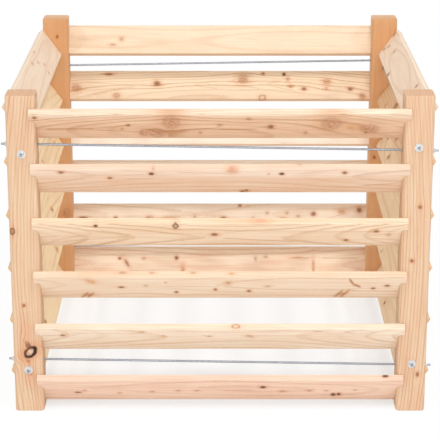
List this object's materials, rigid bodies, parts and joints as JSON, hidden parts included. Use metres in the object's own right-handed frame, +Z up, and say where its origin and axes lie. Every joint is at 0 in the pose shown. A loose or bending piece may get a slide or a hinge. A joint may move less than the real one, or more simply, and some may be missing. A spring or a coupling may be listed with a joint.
{
  "type": "slatted timber compost bin",
  "caption": "Open-topped square timber compost bin of outward-leaning louvre boards housed in corner posts, drawn together by threaded rods with washers and hexagon nuts.",
  "frame": {"origin": "the middle of the bin's base, on the ground", "axes": "+Z up, -Y towards the side seen in front in the picture, +X to its right"},
  "size_m": [1.032, 1.032, 0.79],
  "materials": {
    "post_wood": "planed, bare softwood with strong upright grain",
    "slat_wood": "planed, bare knotty softwood",
    "rod_steel": "zinc plated thread",
    "washer_steel": "zinc plated",
    "nut_steel": "zinc plated"
  },
  "bodies": {
    "root": {"post_front_left": "post_wood", "post_front_right": "post_wood", "post_rear_right": "post_wood", "post_rear_left": "post_wood", "slat_front_1": "slat_wood", "slat_front_2": "slat_wood", "slat_front_3": "slat_wood", "slat_front_4": "slat_wood", "slat_front_5": "slat_wood", "slat_front_6": "slat_wood", "slat_right_1": "slat_wood", "slat_right_2": "slat_wood", "slat_right_3": "slat_wood", "slat_right_4": "slat_wood", "slat_right_5": "slat_wood", "slat_right_6": "slat_wood", "slat_rear_1": "slat_wood", "slat_rear_2": "slat_wood", "slat_rear_3": "slat_wood", "slat_rear_4": "slat_wood", "slat_rear_5": "slat_wood", "slat_rear_6": "slat_wood", "slat_left_1": "slat_wood", "slat_left_2": "slat_wood", "slat_left_3": "slat_wood", "slat_left_4": "slat_wood", "slat_left_5": "slat_wood", "slat_left_6": "slat_wood", "rod_front_upper": "rod_steel", "washers_front_upper": "washer_steel", "nuts_front_upper": "nut_steel", "rod_front_lower": "rod_steel", "washers_front_lower": "washer_steel", "nuts_front_lower": "nut_steel", "rod_right_upper": "rod_steel", "washers_right_upper": "washer_steel", "nuts_right_upper": "nut_steel", "rod_right_lower": "rod_steel", "washers_right_lower": "washer_steel", "nuts_right_lower": "nut_steel", "rod_rear_upper": "rod_steel", "washers_rear_upper": "washer_steel", "nuts_rear_upper": "nut_steel", "rod_rear_lower": "rod_steel", "washers_rear_lower": "washer_steel", "nuts_rear_lower": "nut_steel", "rod_left_upper": "rod_steel", "washers_left_upper": "washer_steel", "nuts_left_upper": "nut_steel", "rod_left_lower": "rod_steel", "washers_left_lower": "washer_steel", "nuts_left_lower": "nut_steel"}
  },
  "joints": []
}
